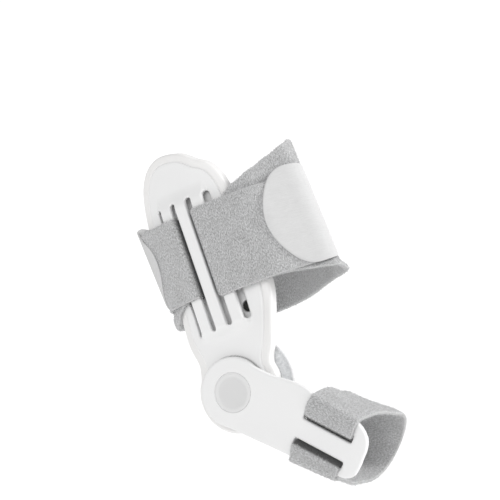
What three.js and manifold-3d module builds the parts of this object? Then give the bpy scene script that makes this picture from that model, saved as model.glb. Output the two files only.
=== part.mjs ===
// Hinged bunion splint for a left foot, in millimetres, +Z up.
// Two plates turn on one rivet beside the ball of the big toe. The long plate is strapped to the
// midfoot, the short one to the big toe. The origin is on the hinge axis, at the pad's face that
// meets the foot, and the splint is held as a foot wears it, with the heel lifted.
import * as THREE from 'three';
import { mergeVertices } from 'three/addons/utils/BufferGeometryUtils.js';
import Module from 'manifold-3d';

const wasm = await Module();
wasm.setup();

// How the splint is worn, in degrees
const toeSlope = 11.2; // the toe plate points down this much
const plateTilt = 22.1; // the plates' outer faces are turned up this much
const toeBend = 44.6; // between the toe plate and the straight line on from the main plate

// Clearance between pieces that lie on each other
const gap = 0.3;

// Cutting prisms reach from under the pad to over the bars
const cutBottom = -20;
const cutTop = 40;

// Facets round a turned piece, and round the small stud
const roundSides = 40;
const studSides = 20;

// Bunion pad
const padRadius = 17.3;
const padThickness = 4.5;
const padAcross = 4.6; // the pad's centre, across and along the main plate from the hinge
const padAlong = 1.8;
const padRound = 1.6;

// Liner
const linerThickness = 2.5;
const linerMargin = 3.1; // how far the liner reaches past the plate
const rimDrop = 0.8; // the liner's rim lies this far under the plate's face

// Main plate
const plateThickness = 2.2;
const plateLength = 91.2; // hinge to the ankle end
const plateWidth = 33;
const plateMiddle = 4.5; // the plate's middle line lies this far to the instep side of the hinge
const plateHead = 12.6; // radius of the round end under the toe plate
const crownRadius = 55; // the plate is bent over the foot with this radius
const crownStart = 14; // flat up to here, for the hinge
const crownFull = 34; // fully crowned from here on

// Slots and bars of the main plate
const slotStart = 24.2;
const slotLength = 51;
const slotEnd = slotStart + slotLength;
const slotMiddle = slotStart + 0.5 * slotLength;
const slotWidth = 2.6;
const innerSlot = 3.5; // slot centres, from the plate's middle line
const outerSlot = 10.5;
const barRise = 2.4; // the side bars bow out this far, the strap runs under them
const middleBarRise = 3;
const barRamp = 7;

// Dark stud under the outer slot on the instep side
const studRadius = 2;
const studThickness = 0.9;
const studAlong = 28.9;

// Toe plate
const toeThickness = 2.4;
const toeHead = 13.4;
const toeLength = 58.3; // hinge to tip
const toeWidth = 26.2;
const toeSlotStart = 29.2;
const toeSlotLength = 22.8;
const toeSlotWidth = 3;
const toeBar = 7.8; // width of the bar between the two toe slots

// Hinge rivet
const capRadius = 7.5;
const capThickness = 1;
const capSink = 0.2; // the cap lies this far under the toe plate's face
const shankRadius = 4;
const flangeRadius = 6;
const flangeThickness = 1;

// Midfoot strap
const strapThickness = 2;
const pinchedThickness = 1.6; // where the slots squeeze it
const strapWidth = 35.2;
const footHeight = 62; // sole to instep, inside the strap
const footBreadth = 70; // inner to outer side of the foot
const overlapLength = 33; // how far the folded layer runs back over the loop
const instepLean = 0.055; // the layers lean out towards the toes, over the instep
const soleLean = 0.05; // and in towards the toes, on the sole side
const tabThickness = 0.9;
const tabLength = 36;
const tabNose = 14; // from the tab's near end to its widest place
const tabHeight = 39.6;
const instepTab = { start: 14.5, rise: 5 }; // from the rail along the loop, and over the slots' middle
const soleTab = { start: 4.5, rise: 4.5 };

// Toe strap
const toeStrapThickness = 1.8;
const toeStrapWidth = 20.8;
const toeBreadth = 32; // depth of the loop under the toe plate's face
const toeHeight = 30;
const upperRail = 0.54 * toeWidth; // the toe plate's edges where the loop starts
const lowerRail = 0.452 * toeWidth;
const upperTaper = 0.085; // the edges come in this much for each mm towards the tip
const lowerTaper = 0.075;
const toeDrift = 0.09; // the loop's edges move towards the tip by this share of their depth
const farDrift = 0.13; // the edge at the tip by this much more
const toeSink = 2.6; // the loop's upper side falls this much from the tip towards the hinge

// Heights over the foot side of the pad, at the hinge
const linerFoot = padThickness + gap;
const linerFace = linerFoot + linerThickness;
const plateFoot = linerFace + gap;
const plateFace = plateFoot + plateThickness;
const toeFoot = plateFace + gap;
const toeFace = toeFoot + toeThickness;

// Colours and finishes
const finish = {
  plate: { color: 0xf1f1f1, roughness: 0.35 },
  liner: { color: 0xf4f3f0, roughness: 0.55 },
  pad: { color: 0xdcdddd, roughness: 0.9 },
  cap: { color: 0xdedede, roughness: 0.4 },
  strap: { color: 0xb4b5b6, roughness: 0.95 },
  tab: { color: 0xe9eaea, roughness: 0.45 },
  stud: { color: 0x1c1c1e, roughness: 0.5 },
};

// Conversion between three.js geometry and solids for joining and cutting

function solidOf(geometry) {
  const bare = geometry.clone();
  bare.deleteAttribute('normal');
  bare.deleteAttribute('uv');
  const merged = mergeVertices(bare, 1e-4);
  return new wasm.Manifold(new wasm.Mesh({
    numProp: 3,
    vertProperties: new Float32Array(merged.attributes.position.array),
    triVerts: new Uint32Array(merged.index.array),
  }));
}

function geometryOf(solid) {
  const mesh = solid.getMesh();
  const geometry = new THREE.BufferGeometry();
  geometry.setAttribute('position', new THREE.BufferAttribute(new Float32Array(mesh.vertProperties), 3));
  geometry.setIndex(new THREE.BufferAttribute(new Uint32Array(mesh.triVerts), 1));
  geometry.computeVertexNormals();
  return geometry;
}

// Upright prism over an outline
function prism(outline, bottom, top) {
  const shape = new THREE.Shape(outline);
  const geometry = new THREE.ExtrudeGeometry(shape, { depth: top - bottom, bevelEnabled: false });
  geometry.translate(0, 0, bottom);
  return geometry;
}

function upright(radius, x, y, bottom, top, sides = roundSides) {
  const geometry = new THREE.CylinderGeometry(radius, radius, top - bottom, sides);
  geometry.rotateX(Math.PI / 2);
  geometry.translate(x, y, (bottom + top) / 2);
  return geometry;
}

// Slab over a grid of columns and rows, between two height functions
function slab(columns, rows, topAt, bottomAt) {
  const positions = [];
  const faces = [];
  const width = columns.length;
  const count = width * rows.length;
  for (const heightAt of [topAt, bottomAt]) {
    for (const y of rows) {
      for (const x of columns) positions.push(x, y, heightAt(x, y));
    }
  }
  const quad = (a, b, c, d) => faces.push(a, b, c, a, c, d);
  for (let j = 0; j < rows.length - 1; j++) {
    for (let i = 0; i < width - 1; i++) {
      const a = j * width + i;
      quad(a, a + 1, a + width + 1, a + width);
      quad(count + a, count + a + width, count + a + width + 1, count + a + 1);
    }
  }
  const last = (rows.length - 1) * width;
  for (let i = 0; i < width - 1; i++) {
    quad(count + i, count + i + 1, i + 1, i);
    quad(last + i, last + i + 1, count + last + i + 1, count + last + i);
  }
  for (let j = 0; j < rows.length - 1; j++) {
    const a = j * width;
    const b = a + width - 1;
    quad(a, a + width, count + a + width, count + a);
    quad(count + b, count + b + width, b + width, b);
  }
  const geometry = new THREE.BufferGeometry();
  geometry.setAttribute('position', new THREE.BufferAttribute(new Float32Array(positions), 3));
  geometry.setIndex(faces);
  return geometry;
}

// Outlines

function smoothOutline(corners, samples) {
  const points = corners.map(([x, y]) => new THREE.Vector3(x, y, 0));
  const curve = new THREE.CatmullRomCurve3(points, true, 'centripetal');
  return curve.getSpacedPoints(samples).slice(0, samples).map((p) => new THREE.Vector2(p.x, p.y));
}

function offsetOutline(outline, distance) {
  const count = outline.length;
  return outline.map((point, i) => {
    const before = outline[(i + count - 1) % count];
    const after = outline[(i + 1) % count];
    const along = after.clone().sub(before).normalize();
    return new THREE.Vector2(point.x + along.y * distance, point.y - along.x * distance);
  });
}

function slotOutline(centre, start, length, width) {
  const radius = width / 2;
  const points = [];
  const steps = 6;
  for (let i = 0; i <= steps; i++) {
    const angle = Math.PI + (Math.PI * i) / steps;
    const y = start + radius + radius * Math.sin(angle);
    points.push(new THREE.Vector2(centre + radius * Math.cos(angle), y));
  }
  for (let i = 0; i <= steps; i++) {
    const angle = (Math.PI * i) / steps;
    const end = start + length - radius;
    points.push(new THREE.Vector2(centre + radius * Math.cos(angle), end + radius * Math.sin(angle)));
  }
  return points;
}

function arc(radius, fromDegrees, toDegrees, steps) {
  const points = [];
  for (let i = 0; i <= steps; i++) {
    const angle = THREE.MathUtils.degToRad(fromDegrees + ((toDegrees - fromDegrees) * i) / steps);
    points.push([radius * Math.cos(angle), radius * Math.sin(angle)]);
  }
  return points;
}

// Main plate: edge points from the neck on the instep side, over the ankle end, to the neck on the
// sole side. across is a share of the plate's width from its middle line, along one of its length.
const plateEdge = [
  { across: 0.316, along: 0.008 },
  { across: 0.298, along: 0.06 },
  { across: 0.325, along: 0.1 },
  { across: 0.412, along: 0.155 },
  { across: 0.48, along: 0.22 },
  { across: 0.53, along: 0.3 },
  { across: 0.56, along: 0.38 },
  { across: 0.55, along: 0.52 },
  { across: 0.51, along: 0.7 },
  { across: 0.465, along: 0.82 },
  { across: 0.43, along: 0.875 },
  { across: 0.36, along: 0.918 },
  { across: 0.265, along: 0.94 },
  { across: 0.2, along: 0.961 },
  { across: 0.12, along: 0.984 },
  { across: 0.01, along: 0.997 },
  { across: -0.14, along: 1 },
  { across: -0.27, along: 0.977 },
  { across: -0.375, along: 0.93 },
  { across: -0.43, along: 0.88 },
  { across: -0.47, along: 0.82 },
  { across: -0.492, along: 0.76 },
  { across: -0.48, along: 0.62 },
  { across: -0.458, along: 0.44 },
  { across: -0.46, along: 0.36 },
  { across: -0.458, along: 0.29 },
  { across: -0.435, along: 0.235 },
  { across: -0.4, along: 0.19 },
  { across: -0.39, along: 0.155 },
];

const plateOutline = smoothOutline([
  ...arc(plateHead, 142, 325, 10),
  ...plateEdge.map((row) => [plateMiddle + row.across * plateWidth, row.along * plateLength]),
], 84);

function smoothStep(value, start, end) {
  const share = THREE.MathUtils.clamp((value - start) / (end - start), 0, 1);
  return share * share * (3 - 2 * share);
}

// Height of the crowned face under the flat face at the hinge
function crown(x, y) {
  return -((x - plateMiddle) ** 2 / (2 * crownRadius)) * smoothStep(y, crownStart, crownFull);
}

// How far the bars bow out
function bow(x, y) {
  const rise = smoothStep(y, slotStart, slotStart + barRamp);
  const ramp = rise * (1 - smoothStep(y, slotEnd - barRamp, slotEnd));
  const side = Math.abs(x - plateMiddle);
  if (side < innerSlot) return middleBarRise * ramp;
  return side < outerSlot ? barRise * ramp : 0;
}

const slotStep = 0.2 * slotWidth; // the faces step from bar to bar inside the slots
const slabColumns = [-1, 1].flatMap((side) => [
  outerSlot - slotStep, outerSlot + slotStep, innerSlot - slotStep, innerSlot + slotStep,
  0.5 * (innerSlot + outerSlot), 0.44 * plateWidth, 0.6 * plateWidth, 0.85 * plateWidth,
].map((distance) => plateMiddle + side * distance)).concat(plateMiddle).sort((a, b) => a - b);

const slabRows = [
  -2 * plateHead, crownStart, 0.5 * (crownStart + slotStart), slotStart,
  slotStart + 0.25 * barRamp, slotStart + 0.5 * barRamp, slotStart + 0.75 * barRamp, slotStart + barRamp,
  crownFull, 0.5 * (slotStart + slotEnd), slotEnd - barRamp, slotEnd - 0.75 * barRamp,
  slotEnd - 0.5 * barRamp, slotEnd - 0.25 * barRamp, slotEnd, 0.5 * (slotEnd + plateLength),
  plateLength + 2 * linerMargin,
];

function mainPlate() {
  const face = (x, y) => plateFace + crown(x, y) + bow(x, y);
  const foot = (x, y) => face(x, y) - plateThickness;
  let solid = solidOf(prism(plateOutline, cutBottom, cutTop))
    .intersect(solidOf(slab(slabColumns, slabRows, face, foot)));
  for (const centre of [-outerSlot, -innerSlot, innerSlot, outerSlot]) {
    const cut = slotOutline(plateMiddle + centre, slotStart, slotLength, slotWidth);
    solid = solid.subtract(solidOf(prism(cut, cutBottom, cutTop)));
  }
  return geometryOf(solid.subtract(solidOf(upright(shankRadius + gap, 0, 0, cutBottom, cutTop))));
}

const studAcross = plateMiddle + outerSlot;

function linerFaceAt(x, y) {
  return linerFace + crown(x, y);
}

function liner() {
  const rim = (x, y) => plateFace - rimDrop + crown(x, y);
  const foot = (x, y) => linerFoot + crown(x, y);
  const outline = offsetOutline(plateOutline, linerMargin);
  const body = solidOf(prism(outline, cutBottom, cutTop))
    .intersect(solidOf(slab(slabColumns, slabRows, rim, foot)));
  const pocketOutline = offsetOutline(plateOutline, gap);
  const above = () => cutTop;
  const pocket = solidOf(prism(pocketOutline, cutBottom, cutTop))
    .intersect(solidOf(slab(slabColumns, slabRows, above, linerFaceAt)));
  const studSeat = linerFaceAt(studAcross, studAlong) - studThickness - gap;
  return geometryOf(body
    .subtract(pocket)
    .subtract(solidOf(upright(flangeRadius + gap, 0, 0, cutBottom, cutTop)))
    .subtract(solidOf(upright(studRadius + gap, studAcross, studAlong, studSeat, cutTop, studSides))));
}

function linerStud() {
  const top = linerFaceAt(studAcross, studAlong) - 0.5 * gap;
  return upright(studRadius, studAcross, studAlong, top - studThickness, top, studSides);
}

// Round soft pad: a disc with rounded rims
function bunionPad() {
  const profile = [[0, 0], [padRadius - padRound, 0]];
  const steps = 4;
  for (let i = 1; i <= steps; i++) {
    const angle = (Math.PI / 2) * (i / steps);
    profile.push([padRadius - padRound * (1 - Math.sin(angle)), padRound * (1 - Math.cos(angle))]);
  }
  for (let i = 0; i <= steps; i++) {
    const angle = (Math.PI / 2) * (i / steps);
    profile.push([
      padRadius - padRound * (1 - Math.cos(angle)),
      padThickness - padRound * (1 - Math.sin(angle)),
    ]);
  }
  profile.push([0, padThickness]);
  const geometry = new THREE.LatheGeometry(profile.map(([r, h]) => new THREE.Vector2(r, h)), roundSides);
  geometry.rotateX(Math.PI / 2);
  geometry.translate(padAcross, padAlong, 0);
  return geometry;
}

// Toe plate: edge points from the head along the upper edge to the tip and back along the lower
// edge. along is a share of the plate's length, across one of its width from the hinge line.
const toeEdge = [
  { along: 0.16, across: 0.486 },
  { along: 0.22, across: 0.495 },
  { along: 0.3, across: 0.53 },
  { along: 0.4, across: 0.562 },
  { along: 0.49, across: 0.553 },
  { along: 0.54, across: 0.522 },
  { along: 0.62, across: 0.508 },
  { along: 0.75, across: 0.492 },
  { along: 0.86, across: 0.47 },
  { along: 0.93, across: 0.408 },
  { along: 0.977, across: 0.31 },
  { along: 0.998, across: 0.18 },
  { along: 1, across: 0.03 },
  { along: 0.999, across: -0.14 },
  { along: 0.987, across: -0.255 },
  { along: 0.95, across: -0.332 },
  { along: 0.88, across: -0.366 },
  { along: 0.72, across: -0.4 },
  { along: 0.55, across: -0.428 },
  { along: 0.38, across: -0.452 },
  { along: 0.25, across: -0.47 },
];

function toePlate() {
  const outline = smoothOutline([
    ...arc(toeHead, 72, 285, 14),
    ...toeEdge.slice().reverse().map((row) => [row.along * toeLength, row.across * toeWidth]),
  ], 90);
  let solid = solidOf(prism(outline, toeFoot, toeFace));
  for (const side of [-1, 1]) {
    const centre = side * (0.5 * toeBar + 0.5 * toeSlotWidth);
    const cut = slotOutline(centre, toeSlotStart, toeSlotLength, toeSlotWidth);
    const lying = cut.map((point) => new THREE.Vector2(point.y, -point.x));
    solid = solid.subtract(solidOf(prism(lying, cutBottom, cutTop)));
  }
  return geometryOf(solid
    .subtract(solidOf(upright(capRadius + gap, 0, 0, toeFace - capSink - capThickness - gap, cutTop)))
    .subtract(solidOf(upright(shankRadius + gap, 0, 0, cutBottom, cutTop))));
}

// Rivet: cap in the toe plate, shank through both plates, flange between main plate and pad
function hingeRivet() {
  const capTop = toeFace - capSink;
  const flangeTop = plateFoot - gap;
  const dimple = 0.25;
  const profile = [
    [0, flangeTop - flangeThickness],
    [flangeRadius, flangeTop - flangeThickness],
    [flangeRadius, flangeTop],
    [shankRadius, flangeTop],
    [shankRadius, capTop - capThickness],
    [capRadius, capTop - capThickness],
    [capRadius, capTop - 0.3 * capThickness],
    [capRadius - 0.3 * capThickness, capTop],
    [0.45 * capRadius, capTop],
    [0, capTop - dimple],
  ];
  const geometry = new THREE.LatheGeometry(profile.map(([r, h]) => new THREE.Vector2(r, h)), roundSides);
  geometry.rotateX(Math.PI / 2);
  return geometry;
}

// Straps: a ribbon is a run of stations { a, b, low, high, thick }. a and b are its path, low and
// high its two edges across the path, thick its thickness.

function ribbon(stations, place, closed = false) {
  const count = stations.length;
  const positions = [];
  for (let i = 0; i < count; i++) {
    const here = stations[i];
    const before = closed ? stations[(i + count - 1) % count] : stations[Math.max(i - 1, 0)];
    const after = closed ? stations[(i + 1) % count] : stations[Math.min(i + 1, count - 1)];
    const into = new THREE.Vector2(here.a - before.a, here.b - before.b).normalize();
    const onward = new THREE.Vector2(after.a - here.a, after.b - here.b).normalize();
    const along = into.clone().add(onward).normalize();
    const miter = 1 / Math.max(0.6, into.lengthSq() > 0 ? along.dot(into) : along.dot(onward));
    const half = 0.5 * here.thick * miter;
    const normal = new THREE.Vector2(-along.y, along.x);
    for (const [side, edge] of [[-1, here.low], [-1, here.high], [1, here.high], [1, here.low]]) {
      positions.push(...place(here.a + side * half * normal.x, here.b + side * half * normal.y, edge));
    }
  }
  const faces = [];
  const quad = (a, b, c, d) => faces.push(a, b, c, a, c, d);
  const spans = closed ? count : count - 1;
  for (let i = 0; i < spans; i++) {
    const near = 4 * i;
    const far = 4 * ((i + 1) % count);
    for (let k = 0; k < 4; k++) {
      const next = (k + 1) % 4;
      quad(near + k, near + next, far + next, far + k);
    }
  }
  if (!closed) {
    const far = 4 * (count - 1);
    quad(3, 2, 1, 0);
    quad(far, far + 1, far + 2, far + 3);
  }
  const geometry = new THREE.BufferGeometry();
  geometry.setAttribute('position', new THREE.BufferAttribute(new Float32Array(positions), 3));
  geometry.setIndex(faces);
  return facingOut(geometry);
}

function facingOut(geometry) {
  const position = geometry.attributes.position;
  const index = geometry.index;
  const [p, q, r] = [new THREE.Vector3(), new THREE.Vector3(), new THREE.Vector3()];
  let volume = 0;
  for (let i = 0; i < index.count; i += 3) {
    p.fromBufferAttribute(position, index.getX(i));
    q.fromBufferAttribute(position, index.getX(i + 1));
    r.fromBufferAttribute(position, index.getX(i + 2));
    volume += p.dot(q.cross(r));
  }
  if (volume < 0) {
    for (let i = 0; i < index.count; i += 3) {
      const second = index.getX(i + 1);
      index.setX(i + 1, index.getX(i + 2));
      index.setX(i + 2, second);
    }
  }
  return geometry;
}

// Corner of a bar or rail, and the strap's middle line bent round it
function roundCorner(a, b, lift, fromDegrees, toDegrees, steps) {
  return arc(lift, fromDegrees, toDegrees, steps).map(([x, z]) => [a + x, b + z]);
}

// The loop round the midfoot: from the rail on the instep side, over the instep, round the outer
// side and the sole, to the rail on the sole side. across is a share of the foot's height from the
// plate's middle line, deep a share of its breadth under the plate's face.
const footLoop = [
  { across: 0.427, deep: 0.08 },
  { across: 0.5, deep: 0.137 },
  { across: 0.573, deep: 0.194 },
  { across: 0.633, deep: 0.241 },
  { across: 0.648, deep: 0.264 },
  { across: 0.642, deep: 0.319 },
  { across: 0.613, deep: 0.397 },
  { across: 0.55, deep: 0.49 },
  { across: 0.484, deep: 0.583 },
  { across: 0.37, deep: 0.71 },
  { across: 0.22, deep: 0.855 },
  { across: 0.05, deep: 0.965 },
  { across: -0.125, deep: 1 },
  { across: -0.265, deep: 0.945 },
  { across: -0.345, deep: 0.825 },
  { across: -0.375, deep: 0.65 },
  { across: -0.382, deep: 0.46 },
  { across: -0.38, deep: 0.28 },
  { across: -0.374, deep: 0.18 },
  { across: -0.364, deep: 0.11 },
];

// Edges of the loop, as shares of the strap's width from the slots' middle. at is the share of the
// way round.
const loopEdges = [
  { at: 0, low: -0.39, high: 0.56 },
  { at: 0.045, low: -0.4, high: 0.7 },
  { at: 0.09, low: -0.42, high: 0.79 },
  { at: 0.13, low: -0.46, high: 0.87 },
  { at: 0.17, low: -0.5, high: 0.95 },
  { at: 0.21, low: -0.54, high: 1.01 },
  { at: 0.4, low: -0.5, high: 0.94 },
  { at: 0.6, low: -0.5, high: 0.8 },
  { at: 0.8, low: -0.52, high: 0.68 },
  { at: 0.93, low: -0.53, high: 0.62 },
  { at: 0.955, low: -0.51, high: 0.6 },
  { at: 0.98, low: -0.4, high: 0.57 },
  { at: 1, low: -0.345, high: 0.55 },
];

const foldRight = { low: -0.41, high: 0.59 };
const foldLeft = { low: -0.335, high: 0.565 };

function edgesAt(share) {
  const next = Math.max(1, loopEdges.findIndex((row) => row.at >= share));
  const [from, to] = [loopEdges[next - 1], loopEdges[next]];
  const part = smoothStep(share, from.at, to.at);
  return {
    low: slotMiddle + strapWidth * THREE.MathUtils.lerp(from.low, to.low, part),
    high: slotMiddle + strapWidth * THREE.MathUtils.lerp(from.high, to.high, part),
  };
}

// Depth of the crowned face at a distance from the middle line, where the strap crosses
function crownAt(side) {
  return plateFace - side ** 2 / (2 * crownRadius);
}

const railEdge = outerSlot + 0.5 * slotWidth;
const railLift = gap + 0.5 * strapThickness;
const pinchLift = gap + 0.5 * pinchedThickness;

// Middle line over a rail, from the outer slot to the liner's edge
const railShares = [0.15, 0.55, 0.97];

function railPoints(side, reach) {
  return railShares.map((share) => {
    const distance = railEdge + share * (reach - railEdge);
    return [plateMiddle + side * distance, crownAt(distance) + railLift];
  });
}

const instepReach = 0.56 * plateWidth + linerMargin; // the liner's widest places, from the middle line
const soleReach = 0.492 * plateWidth + linerMargin + 1.5 * gap;

const loopPoints = [
  ...railPoints(1, instepReach),
  ...footLoop.map((row) => [plateMiddle + row.across * footHeight, plateFace - row.deep * footBreadth]),
  ...railPoints(-1, soleReach).reverse(),
];

function curveThrough(points) {
  const corners = points.map(([a, b]) => new THREE.Vector3(a, 0, b));
  return new THREE.CatmullRomCurve3(corners, false, 'centripetal');
}

const loopCurve = curveThrough(loopPoints);
const loopLength = loopCurve.getLength();

// A point over the loop at a distance from its start or end, lifted outwards
function overLoop(distance, lift, fromEnd) {
  const share = THREE.MathUtils.clamp(distance / loopLength, 0, 1);
  const at = fromEnd ? 1 - share : share;
  const point = loopCurve.getPointAt(at);
  const along = loopCurve.getTangentAt(at);
  return { a: point.x + lift * along.z * -1, b: point.z + lift * along.x };
}

// Threaded stretch on one side, from the fold over the side bar to the rail: over the bar, down
// the inner slot, under the bar and up the outer slot.
function threading(side) {
  const inner = innerSlot + 0.5 * slotWidth;
  const outer = outerSlot - 0.5 * slotWidth;
  const top = (distance) => crownAt(distance) + barRise;
  const under = (distance) => top(distance) - plateThickness - pinchLift;
  const rail = crownAt(railEdge);
  const path = [
    [outer, top(outer) + pinchLift],
    ...roundCorner(inner, top(inner), pinchLift, 90, 180, 3),
    ...roundCorner(inner, top(inner) - plateThickness, pinchLift, 180, 270, 3),
    [outer, under(outer)],
    ...roundCorner(railEdge, rail, pinchLift + 0.05, 180, 95, 3),
  ];
  return path.map(([distance, height]) => [plateMiddle + side * distance, height]);
}

const foldClear = strapThickness + gap;

// The foot widens towards the toes, so the layers lean on both sides
function onFoot(a, b, edge) {
  const side = a - plateMiddle;
  const sole = soleLean * smoothStep(-side, railEdge + 4, soleReach + 3);
  const instep = instepLean * smoothStep(side, railEdge + 6, instepReach + 12);
  return [a + (sole + instep) * (slotEnd - edge), edge, b];
}

// The layer folded back over the loop, from its end under the tab to the side bar
function foldedLayer(side, edges) {
  const fromEnd = side < 0;
  const stations = [];
  const steps = 12;
  for (let i = 0; i <= steps; i++) {
    const share = i / steps;
    const distance = overlapLength * (1 - share);
    const thinning = smoothStep(share, 0, 0.35);
    const thick = THREE.MathUtils.lerp(0.5 * strapThickness, 0.9 * strapThickness, thinning);
    const lift = 0.5 * strapThickness + gap + 0.5 * thick;
    stations.push({
      ...overLoop(distance, lift, fromEnd),
      low: slotMiddle + edges.low * strapWidth,
      high: slotMiddle + edges.high * strapWidth,
      thick,
    });
  }
  return stations;
}

function midfootStrap() {
  const ends = { right: edgesAt(0), left: edgesAt(1) };
  const folds = {
    right: { low: slotMiddle + foldRight.low * strapWidth, high: slotMiddle + foldRight.high * strapWidth },
    left: { low: slotMiddle + foldLeft.low * strapWidth, high: slotMiddle + foldLeft.high * strapWidth },
  };
  const threaded = (side, fold, end) => threading(side).map(([a, b], i) => {
    const share = smoothStep(i, 1, 4);
    return {
      a,
      b,
      low: THREE.MathUtils.lerp(fold.low, end.low, share),
      high: THREE.MathUtils.lerp(fold.high, end.high, share),
      thick: pinchedThickness,
    };
  });
  const loop = [];
  const steps = 58;
  for (let i = 0; i <= steps; i++) {
    const share = i / steps;
    loop.push({ ...overLoop(share * loopLength, 0, false), ...edgesAt(share), thick: strapThickness });
  }
  return ribbon([
    ...foldedLayer(1, foldRight),
    ...threaded(1, folds.right, ends.right),
    ...loop,
    ...threaded(-1, folds.left, ends.left).reverse(),
    ...foldedLayer(-1, foldLeft).reverse(),
  ], onFoot);
}

// Oval hook tab over the end of a folded layer
function hookTab(side, tab) {
  const middle = slotMiddle + tab.rise;
  const stations = [];
  const steps = 20;
  for (let i = 0; i <= steps; i++) {
    const angle = Math.PI * (i / steps);
    const reach = angle < Math.PI / 2 ? tabNose : tabLength - tabNose;
    const distance = tab.start + tabNose - reach * Math.cos(angle);
    const half = 0.5 * tabHeight * Math.max(0.08, Math.sin(angle));
    const overFold = 1 - smoothStep(distance, overlapLength - 4, overlapLength + 8);
    const layer = THREE.MathUtils.lerp(0, foldClear, overFold);
    const lift = 0.5 * strapThickness + layer + gap + 0.5 * tabThickness;
    stations.push({
      ...overLoop(distance, lift, side < 0),
      low: middle - half,
      high: middle + half,
      thick: tabThickness,
    });
  }
  return ribbon(stations, onFoot);
}

// The loop round the big toe, under the toe plate. up is a share of the toe's height from the
// hinge line, deep a share of its breadth under the toe plate's face.
const toeLoop = [
  { up: 0.512, deep: 0.09 },
  { up: 0.528, deep: 0.2 },
  { up: 0.541, deep: 0.36 },
  { up: 0.549, deep: 0.53 },
  { up: 0.546, deep: 0.68 },
  { up: 0.53, deep: 0.81 },
  { up: 0.485, deep: 0.91 },
  { up: 0.4, deep: 0.985 },
  { up: 0.26, deep: 1.03 },
  { up: 0.08, deep: 1.04 },
  { up: -0.12, deep: 1 },
  { up: -0.28, deep: 0.89 },
  { up: -0.375, deep: 0.72 },
  { up: -0.413, deep: 0.5 },
  { up: -0.424, deep: 0.28 },
  { up: -0.43, deep: 0.09 },
];

function toeStrap() {
  const lift = gap + 0.5 * toeStrapThickness;
  const pinched = gap + 0.5 * pinchedThickness;
  const slotInner = 0.5 * toeBar;
  const slotOuter = slotInner + toeSlotWidth;
  const half = (side) => [
    [0.3 * side * slotInner, toeFoot - pinched],
    ...roundCorner(slotInner, toeFoot, pinched, -90, 0, 2).map(([a, b]) => [side * a, b]),
    ...roundCorner(slotOuter, toeFace, pinched, 180, 90, 3).map(([a, b]) => [side * a, b]),
  ];
  const rails = [
    [slotOuter + 1.5, toeFace + lift],
    ...roundCorner(upperRail, toeFace, lift, 90, 15, 3),
    ...toeLoop.map((row) => [row.up * toeHeight, toeFace - row.deep * toeBreadth]),
    ...roundCorner(-lowerRail, toeFace, lift, 165, 90, 3),
    [-slotOuter - 1.5, toeFace + lift],
  ];
  const sweep = curveThrough(rails).getSpacedPoints(42).map((point) => [point.x, point.z]);
  const upper = half(1);
  const lower = half(-1).reverse();
  const path = [...upper, ...sweep, ...lower];
  const first = toeSlotStart + 0.5 * (toeSlotLength - toeStrapWidth);
  const stations = path.map(([a, b], i) => {
    const depth = Math.max(0, toeFoot - b);
    const threaded = i < upper.length || i >= path.length - lower.length;
    return {
      a,
      b,
      low: first + toeDrift * depth,
      high: first + toeStrapWidth + toeDrift * depth + farDrift * Math.min(depth, 20),
      thick: threaded ? pinchedThickness : toeStrapThickness,
    };
  });
  return ribbon(stations, (a, b, edge) => {
    const taper = a > 0 ? upperTaper : -lowerTaper;
    const atRail = smoothStep(Math.abs(a), slotOuter + 1, 0.4 * toeWidth) * smoothStep(b, 0, toeFoot - 1);
    const fallen = smoothStep(toeFoot - b, 3, 17) * smoothStep(a, 0, 8);
    const toHinge = 1 - THREE.MathUtils.clamp((edge - first) / toeStrapWidth, 0, 1);
    return [edge, a - taper * (edge - first) * atRail - toeSink * fallen * toHinge, b];
  }, true);
}

// Assembly

function piece(name, geometry, look) {
  const material = new THREE.MeshStandardMaterial({ metalness: 0, ...look });
  const mesh = new THREE.Mesh(geometry, material);
  mesh.name = name;
  return mesh;
}

const footSide = new THREE.Group();
footSide.rotation.z = THREE.MathUtils.degToRad(90 - toeBend);
footSide.add(
  piece('main_plate', mainPlate(), finish.plate),
  piece('liner', liner(), finish.liner),
  piece('liner_stud', linerStud(), finish.stud),
  piece('bunion_pad', bunionPad(), finish.pad),
  piece('hinge_rivet', hingeRivet(), finish.cap),
  piece('midfoot_strap', midfootStrap(), finish.strap),
  piece('dorsal_tab', hookTab(1, instepTab), finish.tab),
  piece('plantar_tab', hookTab(-1, soleTab), finish.tab),
);

const toeSide = new THREE.Group();
toeSide.add(
  piece('toe_plate', toePlate(), finish.plate),
  piece('toe_strap', toeStrap(), finish.strap),
);

const splint = new THREE.Group();
splint.rotation.set(
  THREE.MathUtils.degToRad(90 - plateTilt),
  THREE.MathUtils.degToRad(toeSlope),
  0,
  'YXZ',
);
splint.add(footSide, toeSide);

export default splint;
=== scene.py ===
import math

import bpy
import bmesh
import numpy as np
from mathutils import Matrix, Vector


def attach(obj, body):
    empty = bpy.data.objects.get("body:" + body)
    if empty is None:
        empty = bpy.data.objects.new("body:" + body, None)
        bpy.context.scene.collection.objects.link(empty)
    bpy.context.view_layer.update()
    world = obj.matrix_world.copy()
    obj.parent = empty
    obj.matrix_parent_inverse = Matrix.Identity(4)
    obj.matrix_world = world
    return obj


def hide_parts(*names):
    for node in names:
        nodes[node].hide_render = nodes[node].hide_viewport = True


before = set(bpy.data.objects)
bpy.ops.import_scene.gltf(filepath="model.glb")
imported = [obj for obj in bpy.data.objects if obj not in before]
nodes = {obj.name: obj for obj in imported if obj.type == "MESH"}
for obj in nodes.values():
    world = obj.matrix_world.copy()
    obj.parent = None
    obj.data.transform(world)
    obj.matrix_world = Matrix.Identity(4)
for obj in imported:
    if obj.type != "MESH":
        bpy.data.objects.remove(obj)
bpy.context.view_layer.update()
mm = 0.001

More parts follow.
